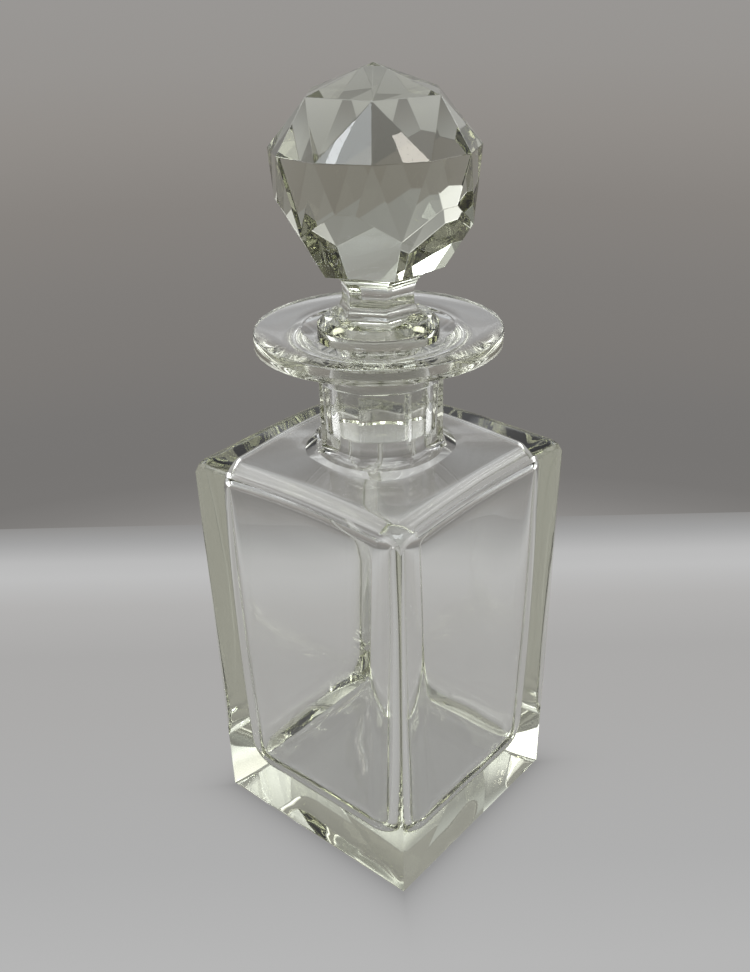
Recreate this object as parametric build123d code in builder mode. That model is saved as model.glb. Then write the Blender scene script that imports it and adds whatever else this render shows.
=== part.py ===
from build123d import *
import os
from math import cos, radians, sin

# A square cut-glass wine decanter and its stopper, in millimetres.
# The origin is the middle of the base, on the face that it rests on, with +Z up.
# The flat sides of the body face +X, -X, +Y and -Y.

# ---- body: four ground flats that meet in sharp corners
BASE_SIDE = 80.0
TOP_SIDE = 83.0
BASE_BEVEL = 0.8
BLANK_HEIGHT = 142.0

# ---- shoulder: blown soft and round, then cut by the flats, so its corners are its lowest points
# Its section runs through three points, each a radius and a height.
# The reaches say how far out the edges round the blown top and the ground top lie.
GRINDING_DEPTH = 3.2
SHOULDER_AT_NECK = (19.0, 138.7)
SHOULDER_MIDDLE = (33.0, 136.4)
SHOULDER_OUTSIDE = (64.0, 134.3)
SHOULDER_ROUND = 8.0
SHOULDER_BEVEL = 0.8
SHOULDER_FOOT = 126.0
BLOWN_REACH = 25.0
FLAT_REACH = 39.0

# ---- neck: eight cut panels, a round throat and a wide flat rim
NECK_APOTHEM = 18.6
NECK_FOOT_APOTHEM = 19.9
NECK_FOOT = 137.2
NECK_FOOT_TOP = 139.9
PANEL_TOP = 160.5
THROAT_RADIUS = 20.15
THROAT_TOP = 161.6
COVE_MIDDLE = (22.9, 167.3)
COVE_END = (29.5, 169.7)
RIM_RADIUS = 37.3
RIM_UNDERSIDE = 170.2
RIM_TOP = 175.0
RIM_EDGE_BEVEL = 0.5

# ---- inside: a blown cavity, a ground tapered bore and a countersunk mouth
CAVITY_BOTTOM_SIDE = 67.6
CAVITY_MIDDLE_SIDE = 71.2
CAVITY_MIDDLE = 85.0
CAVITY_TOP_SIDE = 67.6
CAVITY_BOTTOM_CORNER = 11.0
CAVITY_MIDDLE_CORNER = 9.0
CAVITY_TOP_CORNER = 5.0
CAVITY_FLOOR = 15.0
CAVITY_FLOOR_ROUND = 9.0
CEILING_DROP = 6.4
CEILING_ROUND = 3.0
BORE_TOP_RADIUS = 14.7
BORE_RADIUS = 13.4
BORE_TOP = 168.2
BORE_BOTTOM = 140.6
BORE_START = 125.0
MOUTH_RADIUS = 22.8

# ---- stopper plug: a solid ground peg under a collar that hangs in the mouth
GROUND_CLEARANCE = 0.06
COLLAR_GAP = 0.6
PEG_END = 142.6
PEG_END_BEVEL = 0.8
COLLAR_RADIUS = 18.3
COLLAR_TOP = 176.4
STEM_FOOT_RADIUS = 15.9

# ---- stopper stem: six hollow-cut panels
STEM_FOOT = 178.3
STEM_FOOT_APOTHEM = 13.6
WAIST_APOTHEM = 9.6
WAIST_LOW = 184.0
WAIST_HIGH = 185.7
STEM_TOP_APOTHEM = 17.4
STEM_TOP = 193.7

# ---- stopper ball: rings of corners where its flats meet, each a radius and a height
BALL_TURN = -51.2
APEX_HEIGHT = 248.2
CAP_RING = (20.5, 240.8)
GIRDLE_RING = (29.9, 226.7)
BELT_RING = (28.2, 206.5)
STEM_RING = (STEM_TOP_APOTHEM / cos(radians(30)), STEM_TOP)
BLANK_MARGIN = 5.0


def shoulder_section(drop):
    """Draw half the section under the shoulder, lowered by a drop, down to the base."""
    at_neck = (SHOULDER_AT_NECK[0], SHOULDER_AT_NECK[1] - drop)
    middle = (SHOULDER_MIDDLE[0], SHOULDER_MIDDLE[1] - drop)
    outside = (SHOULDER_OUTSIDE[0], SHOULDER_OUTSIDE[1] - drop)
    with BuildLine() as outline:
        Polyline(outside, (SHOULDER_OUTSIDE[0], 0), (0, 0), (0, at_neck[1]), at_neck)
        ThreePointArc(at_neck, middle, outside)
    make_face(outline.edges())


def closed_section(*points):
    """Draw a closed half section from its corners, each a radius and a height."""
    with BuildLine() as outline:
        Polyline(*points, close=True)
    make_face(outline.edges())


def edges_round_top(part, lowest, nearest):
    """Pick the edges that run round the top of a square body, above a height and outside a square."""
    def runs_round(edge):
        middle = edge.center()
        climb = abs((edge @ 0).Z - (edge @ 1).Z)
        return middle.Z > lowest and climb < 5 and max(abs(middle.X), abs(middle.Y)) > nearest
    return part.edges().filter_by(runs_round)


def octagon(apothem):
    """Draw an octagon with a flat towards each side and each corner of the body."""
    RegularPolygon(radius=apothem, side_count=8, major_radius=False, rotation=22.5)


def ball_direction(turn):
    """Give the level direction at a turn about the axis, counted from the ball's first ridge."""
    angle = radians(BALL_TURN + turn)
    return Vector(cos(angle), sin(angle), 0)


def ball_corner(ring, turn):
    """Give the corner of a ring of the ball at a turn."""
    return ball_direction(turn) * ring[0] + Vector(0, 0, ring[1])


def grind_flat(first, second, third):
    """Cut the ball on the plane through three corners, and keep the side of its middle."""
    outward = (second - first).cross(third - first).normalized()
    to_middle = Vector(0, 0, (STEM_TOP + APEX_HEIGHT) / 2) - first
    if outward.dot(to_middle) > 0:
        outward = outward * -1
    split(bisect_by=Plane(origin=first, z_dir=outward), keep=Keep.BOTTOM)


# ---- the decanter's inside
with BuildPart() as inside:
    # The blown cavity: a soft square with a rounded floor and a ceiling that follows the shoulder
    with BuildSketch(Plane.XY.offset(CAVITY_FLOOR)):
        RectangleRounded(CAVITY_BOTTOM_SIDE, CAVITY_BOTTOM_SIDE, CAVITY_BOTTOM_CORNER)
    with BuildSketch(Plane.XY.offset(CAVITY_MIDDLE)):
        RectangleRounded(CAVITY_MIDDLE_SIDE, CAVITY_MIDDLE_SIDE, CAVITY_MIDDLE_CORNER)
    with BuildSketch(Plane.XY.offset(BLANK_HEIGHT)):
        RectangleRounded(CAVITY_TOP_SIDE, CAVITY_TOP_SIDE, CAVITY_TOP_CORNER)
    loft()
    fillet(inside.faces().sort_by(Axis.Z)[0].edges(), CAVITY_FLOOR_ROUND)
    with BuildSketch(Plane.XZ):
        shoulder_section(CEILING_DROP)
    revolve(axis=Axis.Z, mode=Mode.INTERSECT)
    fillet(edges_round_top(inside, SHOULDER_OUTSIDE[1] - CEILING_DROP, BLOWN_REACH), CEILING_ROUND)
    # The ground bore and the countersunk mouth
    with BuildSketch(Plane.XZ):
        closed_section(
            (0, BORE_START),
            (BORE_RADIUS, BORE_START),
            (BORE_RADIUS, BORE_BOTTOM),
            (BORE_TOP_RADIUS, BORE_TOP),
            (MOUTH_RADIUS, RIM_TOP),
            (0, RIM_TOP),
        )
    revolve(axis=Axis.Z)

# ---- the flats: the square that the body is ground to, a little wider at its shoulder than at its base
with BuildPart() as flats:
    with BuildSketch(Plane.XY):
        Rectangle(BASE_SIDE, BASE_SIDE)
    with BuildSketch(Plane.XY.offset(BLANK_HEIGHT)):
        Rectangle(TOP_SIDE, TOP_SIDE)
    loft()
    chamfer(flats.faces().sort_by(Axis.Z)[0].edges(), BASE_BEVEL)

# ---- decanter
with BuildPart() as decanter:
    # The blown body, a soft square with a rounded shoulder
    blown_base = BASE_SIDE + 2 * GRINDING_DEPTH
    blown_top = TOP_SIDE + 2 * GRINDING_DEPTH
    with BuildSketch(Plane.XY):
        RectangleRounded(blown_base, blown_base, SHOULDER_ROUND)
    with BuildSketch(Plane.XY.offset(BLANK_HEIGHT)):
        RectangleRounded(blown_top, blown_top, SHOULDER_ROUND)
    loft()
    with BuildSketch(Plane.XZ):
        shoulder_section(0)
    revolve(axis=Axis.Z, mode=Mode.INTERSECT)
    fillet(edges_round_top(decanter, SHOULDER_OUTSIDE[1], BLOWN_REACH), SHOULDER_ROUND - 0.01)
    # Its four flats, with a fine bevel where they meet the shoulder
    add(flats.part, mode=Mode.INTERSECT)
    chamfer(edges_round_top(decanter, SHOULDER_FOOT, FLAT_REACH), SHOULDER_BEVEL)
    # The neck's flared foot and its eight panels
    with BuildSketch(Plane.XY.offset(NECK_FOOT)):
        octagon(NECK_FOOT_APOTHEM)
    with BuildSketch(Plane.XY.offset(NECK_FOOT_TOP)):
        octagon(NECK_APOTHEM)
    loft()
    with BuildSketch(Plane.XY.offset(NECK_FOOT_TOP)):
        octagon(NECK_APOTHEM)
    extrude(amount=PANEL_TOP - NECK_FOOT_TOP)
    # The round throat, its cove and the wide rim
    with BuildSketch(Plane.XZ):
        with BuildLine():
            Polyline((0, RIM_TOP), (0, PANEL_TOP), (THROAT_RADIUS, PANEL_TOP), (THROAT_RADIUS, THROAT_TOP))
            ThreePointArc((THROAT_RADIUS, THROAT_TOP), COVE_MIDDLE, COVE_END)
            Polyline(
                COVE_END,
                (RIM_RADIUS - RIM_EDGE_BEVEL, RIM_UNDERSIDE),
                (RIM_RADIUS, RIM_UNDERSIDE + RIM_EDGE_BEVEL),
                (RIM_RADIUS, RIM_TOP - RIM_EDGE_BEVEL),
                (RIM_RADIUS - RIM_EDGE_BEVEL, RIM_TOP),
                (0, RIM_TOP),
            )
        make_face()
    revolve(axis=Axis.Z)
    add(inside.part, mode=Mode.SUBTRACT)

# ---- the stopper's ball: a turned blank with its flats ground on
with BuildPart() as ball:
    with BuildSketch(Plane.XZ):
        closed_section(
            (0, STEM_TOP),
            (GIRDLE_RING[0] + BLANK_MARGIN, STEM_TOP),
            (GIRDLE_RING[0] + BLANK_MARGIN, APEX_HEIGHT + BLANK_MARGIN),
            (0, APEX_HEIGHT + BLANK_MARGIN),
        )
    revolve(axis=Axis.Z)
    for turn in range(0, 360, 60):
        cap_corner = ball_corner(CAP_RING, turn)
        next_cap_corner = ball_corner(CAP_RING, turn + 60)
        girdle_corner = ball_corner(GIRDLE_RING, turn)
        # the cap, then the crown's downward flat and its two upward ones
        grind_flat(Vector(0, 0, APEX_HEIGHT), cap_corner, next_cap_corner)
        grind_flat(cap_corner, next_cap_corner, ball_corner(GIRDLE_RING, turn + 30))
        grind_flat(cap_corner, girdle_corner, ball_corner(GIRDLE_RING, turn + 30))
        grind_flat(cap_corner, girdle_corner, ball_corner(GIRDLE_RING, turn - 30))
    for turn in range(0, 360, 30):
        girdle_corner = ball_corner(GIRDLE_RING, turn)
        belt_corner = ball_corner(BELT_RING, turn + 15)
        # the belt's downward and upward flats
        grind_flat(girdle_corner, ball_corner(GIRDLE_RING, turn + 30), belt_corner)
        grind_flat(girdle_corner, ball_corner(BELT_RING, turn - 15), belt_corner)
    for turn in range(15, 360, 60):
        # the six large flats under the belt
        stem_corner = ball_corner(STEM_RING, turn)
        grind_flat(stem_corner, ball_corner(STEM_RING, turn + 60), ball_corner(BELT_RING, turn))

# ---- the stopper's stem: three pairs of hollow-cut panels, each pair cut right across
with BuildPart() as stem:
    for turn in (45, 105, 165):
        across = Plane(origin=(0, 0, 0), x_dir=ball_direction(turn), z_dir=ball_direction(turn - 90))
        with BuildSketch(across):
            with BuildLine():
                Polyline((0, STEM_TOP), (STEM_TOP_APOTHEM, STEM_TOP))
                TangentArc((WAIST_APOTHEM, WAIST_HIGH), (STEM_TOP_APOTHEM, STEM_TOP), tangent=(0, 1))
                Line((WAIST_APOTHEM, WAIST_LOW), (WAIST_APOTHEM, WAIST_HIGH))
                TangentArc((WAIST_APOTHEM, WAIST_LOW), (STEM_FOOT_APOTHEM, STEM_FOOT), tangent=(0, -1))
                Polyline((STEM_FOOT_APOTHEM, STEM_FOOT), (STEM_FOOT_APOTHEM, COLLAR_TOP), (0, COLLAR_TOP))
                mirror(about=Plane.YZ)
            make_face()
        pair_mode = Mode.ADD if turn == 45 else Mode.INTERSECT
        extrude(amount=STEM_RING[0] * 2, both=True, mode=pair_mode)

# ---- stopper
bore_taper = (BORE_TOP_RADIUS - BORE_RADIUS) / (BORE_TOP - BORE_BOTTOM)
peg_end_radius = BORE_RADIUS + bore_taper * (PEG_END - BORE_BOTTOM) - GROUND_CLEARANCE
peg_top_radius = BORE_TOP_RADIUS - GROUND_CLEARANCE
mouth_slope = (RIM_TOP - BORE_TOP) / (MOUTH_RADIUS - BORE_TOP_RADIUS)
collar_low = BORE_TOP + mouth_slope * (COLLAR_RADIUS - BORE_TOP_RADIUS) + COLLAR_GAP
peg_top = BORE_TOP + COLLAR_GAP - mouth_slope * GROUND_CLEARANCE
with BuildPart() as stopper:
    # The ground peg and the round collar, turned in one
    with BuildSketch(Plane.XZ):
        closed_section(
            (0, PEG_END),
            (peg_end_radius - PEG_END_BEVEL, PEG_END),
            (peg_end_radius + bore_taper * PEG_END_BEVEL, PEG_END + PEG_END_BEVEL),
            (peg_top_radius, BORE_TOP),
            (peg_top_radius, peg_top),
            (COLLAR_RADIUS, collar_low),
            (COLLAR_RADIUS, COLLAR_TOP),
            (STEM_FOOT_RADIUS, STEM_FOOT),
            (0, STEM_FOOT),
        )
    revolve(axis=Axis.Z)
    add(stem.part)
    add(ball.part)

# ---- one STEP file for each piece
decanter.part.label = "decanter"
stopper.part.label = "stopper"
os.makedirs("parts", exist_ok=True)
for piece in (decanter.part, stopper.part):
    export_step(piece, f"parts/{piece.label}.step")
    box = piece.bounding_box()
    print(piece.label, len(piece.solids()), "solid", round(piece.volume / 1000, 1), "ml of glass,",
          round(box.size.X, 1), "x", round(box.size.Y, 1), "x", round(box.size.Z, 1), "mm")
print("it holds about", round(inside.part.volume / 1000), "ml to the brim")
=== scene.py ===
# %% [markdown]
# A square cut-crystal wine decanter with a faceted ball stopper, both solid clear glass.
# Clear glass is nearly all shape: what the eye sees is the outside surface, the inside surface,
# and how each one bends the light. So this lesson spends most of its steps on two closed meshes,
# one for the decanter and one for the stopper, and only a few on colour.

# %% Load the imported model
import math

import bmesh
import bpy
from mathutils import Matrix, Vector, noise


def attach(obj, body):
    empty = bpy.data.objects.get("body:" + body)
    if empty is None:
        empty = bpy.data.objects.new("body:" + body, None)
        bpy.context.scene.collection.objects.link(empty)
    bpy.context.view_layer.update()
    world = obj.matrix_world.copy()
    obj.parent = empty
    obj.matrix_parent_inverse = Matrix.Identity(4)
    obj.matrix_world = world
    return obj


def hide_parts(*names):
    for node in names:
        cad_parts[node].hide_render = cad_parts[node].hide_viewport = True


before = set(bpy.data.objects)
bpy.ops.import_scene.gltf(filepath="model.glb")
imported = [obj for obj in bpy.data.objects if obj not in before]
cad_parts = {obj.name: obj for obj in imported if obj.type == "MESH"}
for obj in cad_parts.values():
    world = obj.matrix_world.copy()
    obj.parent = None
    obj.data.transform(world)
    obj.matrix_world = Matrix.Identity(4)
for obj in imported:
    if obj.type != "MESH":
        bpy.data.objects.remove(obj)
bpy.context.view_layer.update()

MM = 0.001

# %% [markdown]
# Every ring of the decanter, outside and inside, gets the same number of points, called stations.
# Then the whole vessel is one strip: a first ring is drawn, and each next ring is extruded from the
# last and moved onto its own outline. A square, an octagon and a circle can follow one another with
# no bridging, because station 0 always faces +X and the stations run round evenly.
# Their number divides by sixteen, so one falls on each corner of the octagon as well as on the
# middle of each panel.

# %% Stations round the axis
STATIONS = 192
PER_SIDE = STATIONS // 4
PER_PANEL = STATIONS // 8


def turned(x, y, quarter):
    """Turn a point by a number of quarters about the axis."""
    for _ in range(quarter % 4):
        x, y = -y, x
    return x, y


def side_and_step(station):
    """Give the side that a station is on, and how far it is from that side's middle."""
    quarter = (station + PER_SIDE // 2) // PER_SIDE
    return quarter, station - quarter * PER_SIDE


def circle(radius):
    """A round outline."""
    def place(station):
        angle = math.tau * station / STATIONS
        return radius * math.cos(angle), radius * math.sin(angle)
    return place


def octagon(apothem):
    """Eight equal panels, one facing each side and each corner of the body."""
    def place(station):
        panel = (station + PER_PANEL // 2) // PER_PANEL
        along = (station - panel * PER_PANEL) / (PER_PANEL / 2) * apothem * math.tan(math.pi / 8)
        angle = math.tau * panel / 8
        return (
            apothem * math.cos(angle) - along * math.sin(angle),
            apothem * math.sin(angle) + along * math.cos(angle),
        )
    return place


def square(half):
    """A square with sharp corners."""
    def place(station):
        quarter, step = side_and_step(station)
        return turned(half, half * step / (PER_SIDE / 2), quarter)
    return place


ROUND_STEPS = 9


def soft_square(half, radius):
    """A square with rounded corners, as a blown shape has."""
    last = PER_SIDE // 2 - ROUND_STEPS
    def place(station):
        quarter, step = side_and_step(station)
        if abs(step) <= last:
            x, y = half, (half - radius) * step / last
        else:
            angle = math.pi / 4 * (abs(step) - last) / ROUND_STEPS
            x = half - radius + radius * math.cos(angle)
            y = math.copysign(half - radius + radius * math.sin(angle), step)
        return turned(x, y, quarter)
    return place


def between(first, second, share):
    """An outline part of the way from one to another."""
    def place(station):
        return tuple(a + (b - a) * share for a, b in zip(first(station), second(station)))
    return place


print("each ring has", STATIONS, "stations:", PER_SIDE, "a side,", PER_PANEL, "a neck panel")

# %% [markdown]
# The shoulder was blown, so it is a low dome that rolls over at the edge of the blown square. The
# flats are then ground straight down through that roll, which leaves each flat with a gently arched
# top edge that dips at the corners. Writing the dome as one height for each place in plan gives
# both surfaces: the outside, and the same form lowered for the ceiling of the cavity.

# %% The height of the shoulder
DOME_POINTS = ((19.0, 138.7), (33.0, 136.4), (64.0, 134.3))


def circle_through(first, second, third):
    """The centre and radius of the circle through three points."""
    (ax, ay), (bx, by), (cx, cy) = first, second, third
    d = 2 * (ax * (by - cy) + bx * (cy - ay) + cx * (ay - by))
    a2, b2, c2 = ax * ax + ay * ay, bx * bx + by * by, cx * cx + cy * cy
    x = (a2 * (by - cy) + b2 * (cy - ay) + c2 * (ay - by)) / d
    y = (a2 * (cx - bx) + b2 * (ax - cx) + c2 * (bx - ax)) / d
    return x, y, math.hypot(ax - x, ay - y)


DOME = circle_through(*DOME_POINTS)


def dome(x, y):
    """The blown dome's height, before it rolls over at its edge."""
    across = math.hypot(x, y) - DOME[0]
    return DOME[1] - math.copysign(math.sqrt(DOME[2] ** 2 - across ** 2), DOME[1] - DOME_POINTS[0][1])


def inset_in_soft_square(x, y, half, radius):
    """How far a point lies inside a square with rounded corners."""
    over_x, over_y = abs(x) - (half - radius), abs(y) - (half - radius)
    outside = math.hypot(max(over_x, 0), max(over_y, 0))
    return radius - outside - min(max(over_x, over_y), 0)


def roll_over(inset, radius):
    """How far a rounded edge has dropped at an inset from it."""
    reach = min(max(radius - inset, 0), radius)
    return radius - math.sqrt(radius ** 2 - reach ** 2)


BLOWN_HALF = 44.6
BLOWN_ROUND = 8.0


def shoulder_height(x, y):
    """The outside of the shoulder."""
    return dome(x, y) - roll_over(inset_in_soft_square(x, y, BLOWN_HALF, BLOWN_ROUND), BLOWN_ROUND)


print("shoulder heights, mm: neck", round(shoulder_height(19, 0), 1), "middle of a flat",
      round(shoulder_height(41.4, 0), 1), "corner", round(shoulder_height(41.4, 41.4), 1))

# %% [markdown]
# One small class keeps the strip: it holds the open ring at the end, and each step extrudes that
# ring and moves the new points to an outline and a height. The station number rides along in a
# vertex layer, so an extruded point always knows where on the outline it belongs.

# %% A strip of rings
class Strip:
    """A surface that grows ring by ring from one open end."""

    def __init__(self, outline, height):
        self.bm = bmesh.new()
        self.station = self.bm.verts.layers.int.new("station")
        made = bmesh.ops.create_circle(self.bm, segments=STATIONS, radius=1.0)
        for vert in made["verts"]:
            angle = math.atan2(vert.co.y, vert.co.x)
            vert[self.station] = round(angle / math.tau * STATIONS) % STATIONS
        self.edges = list(self.bm.edges)
        self.move(made["verts"], outline, height)

    def move(self, verts, outline, height):
        """Put a ring's points on an outline. Height is a number of mm, or a function of the place."""
        for vert in verts:
            x, y = outline(vert[self.station])
            z = height(x, y) if callable(height) else height
            vert.co = Vector((x, y, z)) * MM

    def ring(self, outline, height):
        """Extrude the last ring and move the new one to its place."""
        made = bmesh.ops.extrude_edge_only(self.bm, edges=self.edges)["geom"]
        verts = [item for item in made if isinstance(item, bmesh.types.BMVert)]
        self.edges = [item for item in made if isinstance(item, bmesh.types.BMEdge)
                      and all(vert in set(verts) for vert in item.verts)]
        self.move(verts, outline, height)

    def close(self):
        """Fill the ring at the end."""
        bmesh.ops.contextual_create(self.bm, geom=self.edges)


print("the strip starts from one circle and grows by extrusion")

# %% [markdown]
# Outside, from the base up. The four sides are ground flats, a little wider at the shoulder than at
# the base, so each is one plane. A fine bevel runs round the base and round the top of the flats.

# %% The outside of the body
BASE_HALF = 40.0
# How much further out a flat lies for each millimetre of height.
SPREAD = 1.5 / 142.0
FLAT_TOP = 133.0
BASE_BEVEL = 0.8
TOP_BEVEL = 0.8


def body_square(height):
    """The outline of the ground flats at a height."""
    return square(BASE_HALF + SPREAD * height)


TOP_HALF = BASE_HALF + SPREAD * FLAT_TOP
decanter = Strip(square(BASE_HALF - BASE_BEVEL), 0)
decanter.ring(body_square(BASE_BEVEL), BASE_BEVEL)
decanter.ring(square(TOP_HALF), lambda x, y: shoulder_height(x, y) - TOP_BEVEL)
decanter.ring(square(TOP_HALF - TOP_BEVEL), shoulder_height)
print("flats from", BASE_BEVEL, "mm up, half width at the top", round(TOP_HALF, 2), "mm")

# %% [markdown]
# Over the shoulder the outline changes from the body's square to the neck's octagon. The rings are
# close together near the edge, where the glass rolls over, and wider apart on the calm dome.

# %% The outside of the shoulder
NECK_APOTHEM = 18.6
FOOT_APOTHEM = 19.9
SHOULDER_STEPS = (0.04, 0.08, 0.12, 0.17, 0.22, 0.28, 0.34, 0.42, 0.5, 0.6, 0.7, 0.8, 0.9, 1.0)

shoulder_edge = square(TOP_HALF - TOP_BEVEL)
for share in SHOULDER_STEPS:
    decanter.ring(between(shoulder_edge, octagon(FOOT_APOTHEM), share), shoulder_height)
print(len(SHOULDER_STEPS), "rings over the shoulder")

# %% [markdown]
# The neck is an octagon with eight ground panels. It stands on a slight flare, and at its top it
# runs into a round throat, which opens in a hollow cove to the wide flat rim. The cove is drawn as
# an arc through three points, the way that a turner's template would be.

# %% The neck, the throat and the rim
def arc_points(first, middle, last, count):
    """Points along the arc from first to last through middle, without the first."""
    x, y, radius = circle_through(first, middle, last)
    start, end = (math.atan2(p[1] - y, p[0] - x) for p in (first, last))
    turn = (end - start + math.pi) % math.tau - math.pi
    angles = [start + turn * step / count for step in range(1, count + 1)]
    return [(x + radius * math.cos(angle), y + radius * math.sin(angle)) for angle in angles]


FLARE_MIDDLE = (19.2, 138.95)
NECK_FOOT_TOP = 139.9
PANEL_TOP = 160.5
THROAT = (20.15, 161.6)
COVE_MIDDLE = (22.9, 167.3)
COVE_END = (29.5, 169.7)
COVE_STEPS = 12
RIM_RADIUS = 37.3
RIM_UNDERSIDE = 170.2
RIM_TOP = 175.0
RIM_EASE = 0.5

decanter.ring(octagon(FLARE_MIDDLE[0]), FLARE_MIDDLE[1])
decanter.ring(octagon(NECK_APOTHEM), NECK_FOOT_TOP)
decanter.ring(octagon(NECK_APOTHEM), PANEL_TOP)
decanter.ring(circle(THROAT[0]), PANEL_TOP)
decanter.ring(circle(THROAT[0]), THROAT[1])
for radius, height in arc_points(THROAT, COVE_MIDDLE, COVE_END, COVE_STEPS):
    decanter.ring(circle(radius), height)
decanter.ring(circle(RIM_RADIUS - RIM_EASE), RIM_UNDERSIDE)
# The rim's edge is eased by a quarter turn below and a quarter turn above, in steps of 30 degrees.
for middle, steps in ((RIM_UNDERSIDE + RIM_EASE, (1, 2, 3)), (RIM_TOP - RIM_EASE, (3, 4, 5, 6))):
    for step in steps:
        turn = math.pi / 6 * step
        radius = RIM_RADIUS - RIM_EASE + RIM_EASE * math.sin(turn)
        decanter.ring(circle(radius), middle - RIM_EASE * math.cos(turn))
print("rim radius", RIM_RADIUS, "mm, from", RIM_UNDERSIDE, "to", RIM_TOP, "mm")

# %% [markdown]
# Now the strip turns in over the rim and goes down inside: the countersunk mouth, the ground bore
# that the stopper's peg fits, and the blown cavity. The bore is tapered and dead true, because it is
# ground. Below it the inside is blown, so it flares softly into the ceiling.

# %% The mouth and the bore
MOUTH = (22.8, RIM_TOP)
BORE_TOP = (14.7, 168.2)
BORE_BOTTOM = (13.4, 140.6)
BORE_FLARE = ((13.4, 138.8), (14.9, 135.2), (19.5, 133.3))
FLARE_STEPS = 10
# The mouth's edge is eased over three rings, each a step outwards and a step down from it.
MOUTH_EASE = ((0.35, 0.0), (0.0, 0.12), (-0.5, 0.45))

for out, down in MOUTH_EASE:
    decanter.ring(circle(MOUTH[0] + out), RIM_TOP - down)
for radius, height in (BORE_TOP, BORE_BOTTOM, BORE_FLARE[0]):
    decanter.ring(circle(radius), height)
for radius, height in arc_points(*BORE_FLARE, FLARE_STEPS):
    decanter.ring(circle(radius), height)
print("bore radius", BORE_TOP[0], "mm at the top and", BORE_BOTTOM[0], "mm at the bottom")

# %% [markdown]
# The cavity is a soft square, 5 to 7 mm in from the flats, with round corners, so the glass is
# thick at the body's corners and makes the bright and dark bands that heavy crystal shows. A blown
# wall is never quite true: smooth noise moves it by a tenth of a millimetre or two. The noise is
# seeded, so the same wall comes out each time.

# %% The blown cavity
CAVITY_FLOOR = 15.0
FLOOR_ROUND = 9.0
# The cavity's half width at three heights: it is a little fuller in the middle.
CAVITY_HALVES = ((15.0, 33.8), (85.0, 35.6), (142.0, 33.8))
# Its corners are rounder at the floor than under the shoulder.
CAVITY_CORNERS = ((15.0, 11.0), (85.0, 9.0), (142.0, 5.0))
CEILING_DROP = 6.4
CEILING_ROUND = 3.0
CEILING_EDGE = 128.0
CEILING_SHARES = (0.15, 0.3, 0.45, 0.6, 0.75, 0.88)
ROLL_STEPS = 8
WALL_TOP = 124.5
WALL_RINGS = 24
FLOOR_ROUND_STEPS = 9
FLOOR_SHARES = (0.2, 0.4, 0.6, 0.8, 0.95)
FLOOR_MIDDLE = 0.5


def smooth_through(three, height):
    """The value at a height, on a smooth curve through three pairs of a height and a value."""
    (a, p), (b, q), (c, r) = three
    return (p * (height - b) * (height - c) / ((a - b) * (a - c))
            + q * (height - a) * (height - c) / ((b - a) * (b - c))
            + r * (height - a) * (height - b) / ((c - a) * (c - b)))


CAVITY_TOP_HALF = smooth_through(CAVITY_HALVES, CEILING_EDGE)
CAVITY_TOP_CORNER = smooth_through(CAVITY_CORNERS, CEILING_EDGE)


def ceiling_height(x, y):
    """The ceiling of the cavity: the dome, lowered, and rolled over into the walls."""
    inset = inset_in_soft_square(x, y, CAVITY_TOP_HALF, CAVITY_TOP_CORNER)
    return dome(x, y) - CEILING_DROP - roll_over(inset, CEILING_ROUND)


def cavity_square(height, inset=0.0):
    """The outline of the cavity at a height, or inset from it."""
    return soft_square(smooth_through(CAVITY_HALVES, height) - inset,
                       smooth_through(CAVITY_CORNERS, height) - inset)


inner_start = len(decanter.bm.verts)
quarter_turns = [math.pi / 2 * step / ROLL_STEPS for step in range(ROLL_STEPS, -1, -1)]
ceiling_edge = soft_square(CAVITY_TOP_HALF - CEILING_ROUND, CAVITY_TOP_CORNER - CEILING_ROUND)
for share in CEILING_SHARES:
    decanter.ring(between(circle(BORE_FLARE[2][0]), ceiling_edge, share), ceiling_height)
for turn in quarter_turns:
    inset = CEILING_ROUND * (1 - math.cos(turn))
    decanter.ring(soft_square(CAVITY_TOP_HALF - inset, CAVITY_TOP_CORNER - inset), ceiling_height)
wall_bottom = CAVITY_FLOOR + FLOOR_ROUND
for step in range(WALL_RINGS + 1):
    height = WALL_TOP + (wall_bottom - WALL_TOP) * step / WALL_RINGS
    decanter.ring(cavity_square(height), height)
for step in range(1, FLOOR_ROUND_STEPS + 1):
    turn = math.pi / 2 * step / FLOOR_ROUND_STEPS
    height = wall_bottom - FLOOR_ROUND * math.sin(turn)
    decanter.ring(cavity_square(height, FLOOR_ROUND * (1 - math.cos(turn))), height)
floor_edge = cavity_square(CAVITY_FLOOR, FLOOR_ROUND)
for share in FLOOR_SHARES:
    decanter.ring(between(floor_edge, circle(FLOOR_MIDDLE), share), CAVITY_FLOOR)
decanter.close()
print("the cavity took", (len(decanter.bm.verts) - inner_start) // STATIONS, "rings")

# %% Let the blown walls wander
WANDER = 0.16
NOISE_SEED = 5
WANDER_SIZE = 26.0
# The floor cooled first, against a tool, so it is more uneven than the walls.
RIPPLE = 0.22
RIPPLE_SIZE = 9.0
RIPPLE_TOP = 34.0
# Where in the noise each starts. Other starts give other walls.
WANDER_START = Vector((3.1, 7.7, 1.3))
RIPPLE_START = Vector((5.2, 0.4, 9.6))
# Unless it is seeded, this noise is shifted by the clock, and each run gives another wall.
noise.seed_set(NOISE_SEED)
decanter.bm.verts.ensure_lookup_table()
for vert in decanter.bm.verts[inner_start:]:
    place = vert.co / MM
    drift = noise.noise_vector(place / WANDER_SIZE + WANDER_START) * WANDER
    ripple = noise.noise_vector(place / RIPPLE_SIZE + RIPPLE_START) * RIPPLE
    depth = min(1.0, max(0.0, (RIPPLE_TOP - place.z) / (RIPPLE_TOP - CAVITY_FLOOR)))
    vert.co += (drift + ripple * depth) * MM
print("blown walls moved by up to about", WANDER, "mm, and the floor by", round(WANDER + RIPPLE, 2))

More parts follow.
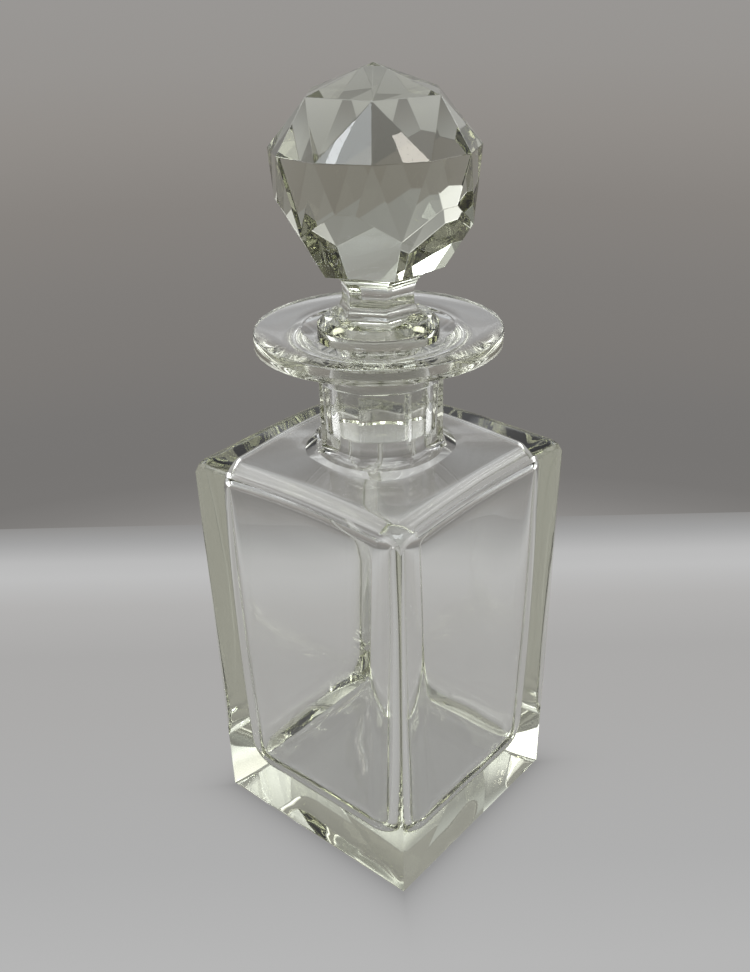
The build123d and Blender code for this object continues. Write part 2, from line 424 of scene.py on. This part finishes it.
# %% [markdown]
# The base is still an open ring, so it is filled with one flat face. Then the shell is whole, and
# its faces can be told to point outwards: into the air outside, and into the air of the cavity.
# Last, every ground arris gets a tiny bevel. A perfectly sharp edge never catches the light, and
# a real polished one always does.

# %% Close the decanter and ease its arrises
ARRIS = math.radians(14)
ARRIS_EASE = 0.12


def open_edges(bm):
    """The edges at the border of an open mesh."""
    return [edge for edge in bm.edges if edge.is_boundary]


def ease_arrises(bm, edges, width):
    """Give sharp edges a fine bevel of two faces."""
    bmesh.ops.bevel(bm, geom=edges, offset=width * MM, offset_type="OFFSET", segments=2,
                    profile=0.5, affect="EDGES", clamp_overlap=True, material=-1)


def sharp_edges(bm, angle):
    """The edges where two faces meet at more than an angle."""
    return [edge for edge in bm.edges if len(edge.link_faces) == 2 and edge.calc_face_angle() > angle]


bmesh.ops.contextual_create(decanter.bm, geom=open_edges(decanter.bm))
bmesh.ops.recalc_face_normals(decanter.bm, faces=decanter.bm.faces)
ease_arrises(decanter.bm, sharp_edges(decanter.bm, ARRIS), ARRIS_EASE)
print("open edges left on the decanter:", len(open_edges(decanter.bm)))

# %% [markdown]
# A bmesh becomes an object here. Every face is smooth, and the edges that are still sharp are
# marked, so the flats stay dead flat and the blown surfaces stay soft in one mesh.

# %% Make a piece from a bmesh
SMOOTH_UP_TO = math.radians(13)


def make_piece(name, bm, cut_above=math.inf):
    """Turn a closed bmesh into a named object, with its place in its mesh. Cut facets stay flat."""
    for face in bm.faces:
        face.smooth = face.calc_center_median().z < cut_above * MM
    for edge in sharp_edges(bm, SMOOTH_UP_TO):
        edge.smooth = False
    loose = [vert for vert in bm.verts if not vert.link_faces]
    volume = bm.calc_volume(signed=True) / MM ** 3 / 1000
    mesh = bpy.data.meshes.new(name)
    bm.to_mesh(mesh)
    bm.free()
    piece = bpy.data.objects.new(name, mesh)
    bpy.context.scene.collection.objects.link(piece)
    print(name, len(mesh.polygons), "faces,", len(loose), "loose points,", round(volume, 1), "ml of glass")
    return piece


decanter_piece = make_piece("square_decanter", decanter.bm)

# %% [markdown]
# The stopper's ball is cut the way that a cutter cuts it: a round blank is held against a flat wheel
# again and again. Here a plane slices the blank with bisect_plane and the cut is filled. The planes
# run through the corners where the facets meet: a six-sided cap, a girdle of twelve corners, a belt
# of twelve more that sit between them, and six long flats down to the stem.

# %% Cut the ball
BALL_TURN = math.radians(-51.2)
APEX = 248.2
CAP = (20.5, 240.8)
GIRDLE = (29.9, 226.7)
BELT = (28.2, 206.5)
STEM_TOP_APOTHEM = 17.4
STEM_TOP = 193.7
STEM_RING = (STEM_TOP_APOTHEM / math.cos(math.pi / 6), STEM_TOP)
BLANK_RADIUS = 60.0
BLANK_MIDDLE = 220.0
CUT_TOLERANCE = 1e-7


def ball_corner(ring, degrees):
    """The corner of a ring of the ball, at a turn from the ball's first ridge."""
    angle = BALL_TURN + math.radians(degrees)
    return Vector((ring[0] * math.cos(angle), ring[0] * math.sin(angle), ring[1])) * MM


def slice_off(bm, place, outward):
    """Slice a mesh on a plane, drop the part that is outwards, and give what lies on the cut."""
    everything = list(bm.verts) + list(bm.edges) + list(bm.faces)
    return bmesh.ops.bisect_plane(bm, geom=everything, dist=CUT_TOLERANCE, plane_co=place,
                                  plane_no=outward, clear_outer=True)["geom_cut"]


def cut_flat(bm, first, second, third):
    """Slice the blank on the plane through three corners, drop the outer part and close the cut."""
    outward = (second - first).cross(third - first).normalized()
    if outward.dot(Vector((0, 0, (STEM_TOP + APEX) / 2 * MM)) - first) > 0:
        outward.negate()
    cut = slice_off(bm, first, outward)
    edges = [item for item in cut if isinstance(item, bmesh.types.BMEdge) and item.is_boundary]
    if len(edges) > 2:
        bmesh.ops.contextual_create(bm, geom=edges)


stopper = bmesh.new()
bmesh.ops.create_uvsphere(stopper, u_segments=12, v_segments=8, radius=BLANK_RADIUS * MM,
                          matrix=Matrix.Translation((0, 0, BLANK_MIDDLE * MM)))
flats = []
for degrees in range(0, 360, 60):
    cap, next_cap = ball_corner(CAP, degrees), ball_corner(CAP, degrees + 60)
    flats.append((Vector((0, 0, APEX * MM)), cap, next_cap))
    flats.append((cap, next_cap, ball_corner(GIRDLE, degrees + 30)))
    flats.append((cap, ball_corner(GIRDLE, degrees), ball_corner(GIRDLE, degrees + 30)))
    flats.append((cap, ball_corner(GIRDLE, degrees), ball_corner(GIRDLE, degrees - 30)))
for degrees in range(0, 360, 30):
    girdle, belt = ball_corner(GIRDLE, degrees), ball_corner(BELT, degrees + 15)
    flats.append((girdle, ball_corner(GIRDLE, degrees + 30), belt))
    flats.append((girdle, ball_corner(BELT, degrees - 15), belt))
for degrees in range(15, 360, 60):
    flats.append((ball_corner(STEM_RING, degrees), ball_corner(STEM_RING, degrees + 60),
                  ball_corner(BELT, degrees)))
for corners in flats:
    cut_flat(stopper, *corners)
print(len(flats), "flats cut on the ball")

# %% [markdown]
# The last cut takes the ball off level at the top of the stem and is left open: a hexagon. The stem
# grows down from it, ring by ring, as three pairs of hollow-cut panels, narrow at the waist.

# %% The stem
WELD = 0.01
SAME_PLANE = math.radians(1)

slice_off(stopper, (0, 0, STEM_TOP * MM), (0, 0, -1))
bmesh.ops.remove_doubles(stopper, verts=stopper.verts, dist=WELD * MM)
bmesh.ops.dissolve_limit(stopper, angle_limit=SAME_PLANE, verts=stopper.verts, edges=stopper.edges)


def extrude_ring(bm, edges, grow, drop):
    """Extrude a level ring, scale it about the axis by grow, and lower it by drop mm."""
    made = bmesh.ops.extrude_edge_only(bm, edges=edges)["geom"]
    verts = [item for item in made if isinstance(item, bmesh.types.BMVert)]
    bmesh.ops.scale(bm, vec=(grow, grow, 1), verts=verts)
    bmesh.ops.translate(bm, vec=(0, 0, -drop * MM), verts=verts)
    kept = set(verts)
    return [item for item in made if isinstance(item, bmesh.types.BMEdge) and set(item.verts) <= kept]


WAIST_APOTHEM = 9.6
WAIST_HIGH = 185.7
WAIST_LOW = 184.0
STEM_FOOT = (13.6, 178.3)


def hollow(reach, rise, steps):
    """A hollow cut that leaves the waist upright: how far out and how far along, from the waist."""
    radius = (reach ** 2 + rise ** 2) / (2 * reach)
    end = math.asin(min(rise / radius, 1.0))
    turns = [end * step / steps for step in range(steps + 1)]
    return [(radius * (1 - math.cos(turn)), radius * math.sin(turn)) for turn in turns]


UPPER_STEPS = 12
LOWER_STEPS = 8
upper_cut = hollow(STEM_TOP_APOTHEM - WAIST_APOTHEM, STEM_TOP - WAIST_HIGH, UPPER_STEPS)
lower_cut = hollow(STEM_FOOT[0] - WAIST_APOTHEM, WAIST_LOW - STEM_FOOT[1], LOWER_STEPS)
upper = [(WAIST_APOTHEM + out, WAIST_HIGH + along) for out, along in reversed(upper_cut[:-1])]
lower = [(WAIST_APOTHEM + out, WAIST_LOW - along) for out, along in lower_cut]
ring = open_edges(stopper)
now = (STEM_TOP_APOTHEM, STEM_TOP)
for step in upper + lower:
    ring = extrude_ring(stopper, ring, step[0] / now[0], now[1] - step[1])
    now = step
print("the stem is", 2 * WAIST_APOTHEM, "mm across its waist, on", len(ring), "panels")

# %% [markdown]
# Under the stem the stopper was turned, not cut: a round collar that hangs in the mouth, and the
# tapered peg. The round part starts as a circle, bridged to the stem's hexagon on the same level.

# %% The collar and the peg
CLEARANCE = 0.06
COLLAR_GAP = 0.6
COLLAR_RADIUS = 18.3
COLLAR_TOP = 176.4
COLLAR_TOP_RADIUS = 15.9
PEG_END = 142.6
PEG_EASE = 0.8
ROUND_POINTS = 144
# Each eased edge has a reach along its two faces, and a dip where it turns.
COLLAR_EASE, COLLAR_DIP = 0.5, 0.12
COLLAR_LOW_EASE, COLLAR_LOW_DIP = 0.3, 0.05
SEAT_OUT, SEAT_UP, SEAT_DOWN = 0.25, 0.1, 0.15
PEG_DIP = 0.24

taper = (BORE_TOP[0] - BORE_BOTTOM[0]) / (BORE_TOP[1] - BORE_BOTTOM[1])
slope = (RIM_TOP - BORE_TOP[1]) / (MOUTH[0] - BORE_TOP[0])
peg_end_radius = BORE_BOTTOM[0] + taper * (PEG_END - BORE_BOTTOM[1]) - CLEARANCE
peg_top_radius = BORE_TOP[0] - CLEARANCE
collar_low = BORE_TOP[1] + slope * (COLLAR_RADIUS - BORE_TOP[0]) + COLLAR_GAP
peg_top = BORE_TOP[1] + COLLAR_GAP - slope * CLEARANCE
round_part = bmesh.ops.create_circle(stopper, segments=ROUND_POINTS, radius=COLLAR_TOP_RADIUS * MM,
                                     matrix=Matrix.Translation((0, 0, STEM_FOOT[1] * MM)))
# Each edge is met from both its ends. A dict drops the second and keeps the order, as a set doesn't.
collar = list(dict.fromkeys(edge for vert in round_part["verts"] for edge in vert.link_edges))
bmesh.ops.bridge_loops(stopper, edges=ring + collar)
now = (COLLAR_TOP_RADIUS, STEM_FOOT[1])
for step in [
    (COLLAR_RADIUS - COLLAR_EASE, COLLAR_TOP + COLLAR_DIP),
    (COLLAR_RADIUS - COLLAR_DIP, COLLAR_TOP - COLLAR_DIP),
    (COLLAR_RADIUS, COLLAR_TOP - COLLAR_EASE),
    (COLLAR_RADIUS, collar_low + COLLAR_LOW_EASE),
    (COLLAR_RADIUS - COLLAR_LOW_EASE, collar_low - COLLAR_LOW_DIP),
    (peg_top_radius + SEAT_OUT, peg_top + SEAT_UP),
    (peg_top_radius, peg_top - SEAT_DOWN),
    (peg_top_radius, BORE_TOP[1]),
    (peg_end_radius + taper * PEG_EASE, PEG_END + PEG_EASE),
    (peg_end_radius - PEG_DIP, PEG_END + PEG_DIP),
    (peg_end_radius - PEG_EASE, PEG_END),
]:
    collar = extrude_ring(stopper, collar, step[0] / now[0], now[1] - step[1])
    now = step
bmesh.ops.contextual_create(stopper, geom=collar)
bmesh.ops.recalc_face_normals(stopper, faces=stopper.faces)
print("peg from", round(peg_top, 2), "down to", PEG_END, "mm; open edges:", len(open_edges(stopper)))

# %% Ease the ball's arrises
BALL_EASE = 0.14
BALL_ARRIS = math.radians(3)
STEM_ARRIS = math.radians(30)
ball_edges = [edge for edge in sharp_edges(stopper, BALL_ARRIS)
              if min(vert.co.z for vert in edge.verts) > (STEM_TOP - WELD) * MM]
stem_ridges = [edge for edge in sharp_edges(stopper, STEM_ARRIS)
               if STEM_FOOT[1] * MM < sum(vert.co.z for vert in edge.verts) / 2 < STEM_TOP * MM]
ease_arrises(stopper, list(dict.fromkeys(ball_edges + stem_ridges)), BALL_EASE)
print(len(ball_edges), "arrises eased on the ball,", len(stem_ridges), "on the stem")
stopper_piece = make_piece("ball_stopper", stopper, STEM_TOP)

# %% [markdown]
# Shader maths reads best as plain expressions. This small class wraps a node's output socket and
# overloads the operators, so that roughness = 0.01 + smears * 0.02 adds the Math nodes by itself.

# %% Shader maths as expressions
class Flow:
    """A node's output socket that adds Math nodes when it is used in an expression."""

    def __init__(self, tree, socket):
        self.tree, self.socket = tree, socket

    def math(self, operation, *values):
        return make_node(self.tree, "ShaderNodeMath", {"operation": operation}, dict(enumerate(values)))

    def __rsub__(self, other):
        return self.math("SUBTRACT", other, self)

    def __add__(self, other):
        return self.math("ADD", self, other)

    def __sub__(self, other):
        return self.math("SUBTRACT", self, other)

    def __mul__(self, other):
        return self.math("MULTIPLY", self, other)

    def __pow__(self, other):
        return self.math("POWER", self, other)

    __radd__, __rmul__ = __add__, __mul__


def make_node(tree, kind, settings=None, values=None, output=0):
    """Add a node: its settings first, then the values or links of its sockets."""
    node = tree.nodes.new(kind)
    for name, value in (settings or {}).items():
        if name == "stops":
            while len(node.color_ramp.elements) < len(value):
                node.color_ramp.elements.new(0.5)
            for element, (position, colour) in zip(node.color_ramp.elements, value):
                element.position, element.color = position, colour
        else:
            setattr(node, name, value)
    for name, value in (values or {}).items():
        if isinstance(value, Flow):
            tree.links.new(value.socket, node.inputs[name])
        else:
            node.inputs[name].default_value = value
    return Flow(tree, node.outputs[output])


def new_material(name):
    """An empty material with an output node."""
    material = bpy.data.materials.new(name)
    material.use_nodes = True
    material.node_tree.nodes.clear()
    output = material.node_tree.nodes.new("ShaderNodeOutputMaterial")
    return material, material.node_tree, output


print("shader helpers ready")

# %% [markdown]
# Lead crystal bends light more than window glass, about 1.54, and it is not quite colourless: a
# long way through it, as at the thick corners, there is a faint olive tint. That is what Volume
# Absorption gives, because it grows with the length of the path, where a tinted surface would
# colour thin and thick glass alike. The surface is polished, with the faint marks of handling.

# %% The crystal
SPECKS_PER_SMEAR = 14
RIPPLE_SCALE = 55.0
SMEAR_ROUGHNESS = 0.02
SPECK_SHARE = 0.02
RIPPLE_SHARE = 0.5
BUMP_STRENGTH = 0.25
BUMP_DEPTH = 0.00012


def crystal(name, ior, tint, density, mark_scale):
    """Clear glass that colours with thickness, with faint handling marks of a scale."""
    material, tree, output = new_material(name)
    place = make_node(tree, "ShaderNodeTexCoord", output=3)
    smears = make_node(tree, "ShaderNodeTexNoise", values={
        "Vector": place, "Scale": mark_scale, "Detail": 3.0, "Roughness": 0.6})
    specks = make_node(tree, "ShaderNodeTexNoise", values={
        "Vector": place, "Scale": mark_scale * SPECKS_PER_SMEAR, "Detail": 2.0, "Roughness": 0.5})
    ripple = make_node(tree, "ShaderNodeTexNoise", values={
        "Vector": place, "Scale": RIPPLE_SCALE, "Detail": 1.0, "Roughness": 0.4})
    roughness = (smears ** 3.0) * SMEAR_ROUGHNESS
    height = ripple * RIPPLE_SHARE + specks * SPECK_SHARE
    bump = make_node(tree, "ShaderNodeBump", values={
        "Height": height, "Strength": BUMP_STRENGTH, "Distance": BUMP_DEPTH})
    surface = make_node(tree, "ShaderNodeBsdfPrincipled", values={
        "Base Color": (1.0, 1.0, 1.0, 1.0), "IOR": ior, "Transmission Weight": 1.0,
        "Roughness": roughness, "Normal": bump})
    inside = make_node(tree, "ShaderNodeVolumeAbsorption", values={"Color": tint, "Density": density})
    tree.links.new(surface.socket, output.inputs["Surface"])
    tree.links.new(inside.socket, output.inputs["Volume"])
    print(name, "bends light by", ior)
    return material


decanter_crystal = crystal("decanter crystal", 1.52, (0.50, 0.52, 0.24, 1.0), 7.0, 30.0)
stopper_crystal = crystal("stopper crystal", 1.54, (0.50, 0.51, 0.33, 1.0), 14.0, 40.0)

# %% [markdown]
# Each mesh stands for its CAD node, rides on its body and takes its finish. Clear glass hardly darkens the
# table, so the pieces cast no shadow.

# %% Put the pieces on their bodies
for piece, node, body, slot, finish in (
    (decanter_piece, "decanter", "decanter", "clear_crystal", decanter_crystal),
    (stopper_piece, "stopper", "stopper", "cut_crystal", stopper_crystal),
):
    piece.data.materials.append(finish)
    piece.visible_shadow = False
    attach(piece, body)
    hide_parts(node)
    print(piece.name, "stands for", node)

# %% [markdown]
# The floor is a sheet of pale paper, drawn as a glow of painted light. Its tones are set along its length,
# as a soft light and its fall-off would leave them, with a painted bright band at the far edge. Past that
# edge the room takes over. Round the foot of the body a painted shadow darkens it.

# %% The floor
LOOK = Vector((-0.652, 0.758, 0))
RIGHT = Vector((0.758, 0.652, 0))
FLOOR_FAR = 0.194
FLOOR_NEAR = -1.2
FLOOR_HALF_WIDTH = 1.2
# Glass on paper touches it at a few points only. The air gap turns the base into a mirror.
AIR_GAP = 0.0004
FOOT_HALF = 0.040
FOOT_SHADE = 0.3
FOOT_SHADE_REACH = 0.005
# Each stop is a distance along the floor in metres, its level of painted light on the screen, 0 to 255, and
# its warmth.
FLOOR_TONES = (
    (-0.6, 176, 0), (-0.082, 182, 0), (-0.042, 175, 0), (0.04, 171, 1), (0.077, 170, 1),
    (0.116, 178, 1), (0.143, 190, 0), (0.158, 186, 0), (0.1775, 162, 0), (0.194, 143, 1),
)


def linear(level):
    """A level on the screen, 0 to 255, as linear light."""
    value = level / 255
    return value / 12.92 if value <= 0.04045 else ((value + 0.055) / 1.055) ** 2.4


def grey(level, warmth):
    """A grey, a little warm where warmth is above 0 and a little cool where it is below."""
    return linear(level + warmth), linear(level), linear(level - warmth), 1.0


def tone_ramp(tree, value, tones):
    """A ramp from a list of stops: a value, a level and a warmth."""
    start, end = tones[0][0], tones[-1][0]
    stops = [((where - start) / (end - start), grey(level, warmth)) for where, level, warmth in tones]
    return make_node(tree, "ShaderNodeValToRGB", {"stops": stops},
                     {"Fac": (value - start) * (1 / (end - start))})


def dimmed(tree, colour, factor):
    """A colour made lighter or darker by a factor."""
    return make_node(tree, "ShaderNodeVectorMath", {"operation": "SCALE"}, {0: colour, "Scale": factor})


def foot_shade(tree, place):
    """A factor below 1 near the foot of the body, where less light reaches the paper."""
    x, y = (make_node(tree, "ShaderNodeSeparateXYZ", values={0: place}, output=axis) for axis in (0, 1))
    outline = x.math("MAXIMUM", x.math("ABSOLUTE", x), y.math("ABSOLUTE", y))
    gap = outline.math("MAXIMUM", outline - FOOT_HALF, 0.0)
    return 1 - gap.math("POWER", math.e, gap * (-1 / FOOT_SHADE_REACH)) * FOOT_SHADE


def paper(name, tones):
    """A sheet that glows with a set tone at each distance along it: painted light and fall-off, with a
    painted shadow at the foot.
    """
    material, tree, output = new_material(name)
    place = make_node(tree, "ShaderNodeTexCoord", output=3)
    along = make_node(tree, "ShaderNodeVectorMath", {"operation": "DOT_PRODUCT"},
                      {0: place, 1: tuple(LOOK)}, output=1)
    # Painted light along the floor, dimmed by a painted shadow near the foot of the body.
    colour = dimmed(tree, tone_ramp(tree, along, tones), foot_shade(tree, place))
    glow = make_node(tree, "ShaderNodeEmission", values={"Color": colour, "Strength": 1.0})
    tree.links.new(glow.socket, output.inputs["Surface"])
    return material


def floor_sheet(name):
    """One edge drawn across, extruded along the floor."""
    bm = bmesh.new()
    across = RIGHT * FLOOR_HALF_WIDTH
    edge = bm.edges.new([bm.verts.new(LOOK * FLOOR_NEAR + side) for side in (-across, across)])
    made = bmesh.ops.extrude_edge_only(bm, edges=[edge])["geom"]
    far = [item for item in made if isinstance(item, bmesh.types.BMVert)]
    bmesh.ops.translate(bm, vec=LOOK * (FLOOR_FAR - FLOOR_NEAR), verts=far)
    bmesh.ops.translate(bm, vec=(0, 0, -AIR_GAP), verts=bm.verts)
    mesh = bpy.data.meshes.new(name)
    bm.to_mesh(mesh)
    bm.free()
    floor = bpy.data.objects.new(name, mesh)
    bpy.context.scene.collection.objects.link(floor)
    return floor


sheet = floor_sheet("paper_floor")
sheet.data.materials.append(paper("pale paper with painted light", FLOOR_TONES))
print("the floor runs from", FLOOR_NEAR, "to", FLOOR_FAR, "m")

# %% [markdown]
# Glass shows its surroundings, so the room is drawn with care. Its grey depends on how high a ray
# looks: darkest just above the far edge of the floor, then lighter to the ceiling, with a bright
# band a little above eye level. The room is brightest at its two sides, which whitens the corners
# of the base, and dimmer behind the camera, as where a person stands.

# %% The room
# Each stop is the height of a direction, -1 straight down to 1 straight up, its level and its warmth.
ROOM_TONES = (
    (-1.0, 172, 0), (-0.56, 176, 0), (-0.529, 190, 0), (-0.515, 184, 0), (-0.5, 162, 0),
    (-0.484, 142, 2), (-0.4756, 134, 2), (-0.463, 125, 2), (-0.446, 118, 2), (-0.42, 117, 2),
    (-0.386, 118, 2), (-0.332, 122, 3), (-0.28, 125, 3), (-0.21, 131, 4), (-0.142, 142, 4),
    (-0.092, 148, 3), (0.0, 153, 2), (0.12, 160, 0), (0.25, 172, -1), (0.28, 245, -2),
    (0.328, 245, -2), (0.345, 185, 0), (0.41, 172, 0), (0.45, 205, -3), (0.54, 205, -3),
    (0.61, 170, -1), (0.7, 180, -1), (0.82, 250, -3), (1.0, 260, -4),
)
SIDE_GAIN = 2.6
CEILING_GAIN = 0.4
BEHIND_LOSS = 0.4
# Each range is where a change starts and where it is whole.
SIDE_ACROSS = (0.4, 0.62)
SIDE_FOOT = (0.0, 0.16)
SIDE_TOP = (0.4, 0.55)
CEILING = (0.6, 0.9)
BEHIND_ACROSS = (0.25, 0.6)
BEHIND_TOP = (0.75, 0.9)


def studio_room():
    """A world whose grey depends on where a ray looks."""
    world = bpy.data.worlds.new("grey room")
    bpy.context.scene.world = world
    world.use_nodes = True
    tree = world.node_tree
    tree.nodes.clear()
    direction = make_node(tree, "ShaderNodeTexCoord")

    def facing(axis):
        return make_node(tree, "ShaderNodeVectorMath", {"operation": "DOT_PRODUCT"},
                         {0: direction, 1: tuple(axis)}, output=1)

    def step_up(value, limits):
        return make_node(tree, "ShaderNodeMapRange", {"interpolation_type": "SMOOTHSTEP"},
                         {"Value": value, "From Min": limits[0], "From Max": limits[1]})

    height = facing((0, 0, 1))
    aside = facing(RIGHT)
    side = step_up(aside.math("ABSOLUTE", aside), SIDE_ACROSS) * step_up(height, SIDE_FOOT)
    side = side * (1 - step_up(height, SIDE_TOP))
    behind = step_up(facing(LOOK) * -1.0, BEHIND_ACROSS) * (1 - step_up(height, BEHIND_TOP))
    gain = 1 + side * SIDE_GAIN + step_up(height, CEILING) * CEILING_GAIN
    colour = dimmed(tree, tone_ramp(tree, height, ROOM_TONES), gain * (1 - behind * BEHIND_LOSS))
    room = make_node(tree, "ShaderNodeBackground", values={"Color": colour, "Strength": 1.0})
    output = tree.nodes.new("ShaderNodeOutputWorld")
    tree.links.new(room.socket, output.inputs["Surface"])


studio_room()
print("the room has", len(ROOM_TONES), "tones from floor to ceiling")

# %% [markdown]
# A cut facet is a small mirror that shows only a few degrees of the room, so a bright facet needs a
# bright patch just where it looks. A cool window hangs high behind the camera with a few narrow
# bright strips before it, cool and warm side by side, which gives the crown its fire.

# %% The windows
def soft_panel(name, place, aim, width, depth, radiance, colour):
    """A rectangular area lamp of a radiance, at a place, pointed at another."""
    lamp = bpy.data.lights.new(name, "AREA")
    lamp.shape, lamp.size, lamp.size_y = "RECTANGLE", width, depth
    lamp.energy, lamp.color = radiance * math.pi * width * depth, colour
    panel = bpy.data.objects.new(name, lamp)
    panel.rotation_mode = "QUATERNION"
    panel.location = place
    panel.rotation_quaternion = (Vector(aim) - Vector(place)).to_track_quat("-Z", "Y")
    bpy.context.scene.collection.objects.link(panel)


BALL_MIDDLE = Vector((0, 0, 0.221))


def toward(azimuth, elevation, distance):
    """The place at a distance from the ball, at an azimuth to the right of the view and an elevation."""
    a, e = math.radians(azimuth), math.radians(elevation)
    level = LOOK * math.cos(a) + RIGHT * math.sin(a)
    return BALL_MIDDLE + (level * math.cos(e) + Vector((0, 0, math.sin(e)))) * distance


COOL_WHITE = (0.93, 0.97, 1.0)
SKY_WHITE = (0.88, 0.95, 1.0)
STRIP_DISTANCE = 1.0
soft_panel("overhead", (-0.1, 0.12, 1.1), (0, 0, 0.1), 0.5, 0.4, 5.0, COOL_WHITE)
soft_panel("cool_window", toward(-138, 53, 1.05), BALL_MIDDLE, 0.3, 0.42, 4.0, SKY_WHITE)
# Each strip is an azimuth and an elevation from the ball, a width and a length in metres, its
# radiance and its colour.
FIRE_STRIPS = (
    (-145.0, 54, 0.022, 0.46, 6.0, (0.84, 0.92, 1.0)), (-141.0, 53, 0.010, 0.40, 10.0, (1.0, 0.95, 0.84)),
    (-138.5, 53, 0.014, 0.46, 9.0, (0.84, 0.92, 1.0)), (-134.0, 52, 0.010, 0.42, 8.0, (0.92, 0.96, 1.0)),
    (-130.0, 51, 0.008, 0.36, 6.0, (1.0, 0.93, 0.86)), (134.0, 50, 0.100, 0.20, 6.0, (1.0, 0.97, 0.92)),
    (142.0, 48, 0.030, 0.18, 9.0, (1.0, 0.95, 0.86)),
)
for count, (azimuth, elevation, width, length, radiance, colour) in enumerate(FIRE_STRIPS):
    soft_panel("strip_%d" % count, toward(azimuth, elevation, STRIP_DISTANCE), BALL_MIDDLE,
               width, length, radiance, colour)
print(len(FIRE_STRIPS), "bright strips and two soft panels placed")

# %% [markdown]
# The camera stands a little above the object and looks down on one corner of it, so that two flats,
# the shoulder and the ball's crown all show.

# %% The camera
CAMERA_PLACE = (0.19405, -0.22889, 0.27627)
YAW, PITCH, ROLL = (math.radians(angle) for angle in (-40.69, -27.36, -1.316))
FOCAL = 38.874

forward = Vector((math.cos(PITCH) * math.sin(YAW), math.cos(PITCH) * math.cos(YAW), math.sin(PITCH)))
level = Vector((math.cos(YAW), -math.sin(YAW), 0))
upright = level.cross(forward)
right = level * math.cos(ROLL) + upright * math.sin(ROLL)
up = upright * math.cos(ROLL) - level * math.sin(ROLL)
camera = bpy.data.objects.new("camera", bpy.data.cameras.new("camera"))
camera.data.lens = FOCAL
camera.data.sensor_width = 36.0
camera.matrix_world = Matrix.Translation(CAMERA_PLACE) @ Matrix((right, up, -forward)).transposed().to_4x4()
camera.data.clip_start = 0.01
bpy.context.scene.collection.objects.link(camera)
bpy.context.scene.camera = camera

scene = bpy.context.scene
scene.view_settings.view_transform = "Standard"
scene.cycles.max_bounces = 32
scene.cycles.transmission_bounces = 32
scene.cycles.glossy_bounces = 16
scene.cycles.transparent_max_bounces = 16
scene.cycles.blur_glossy = 0.0
print("camera", [round(value, 3) for value in camera.location], "lens", FOCAL, "mm")
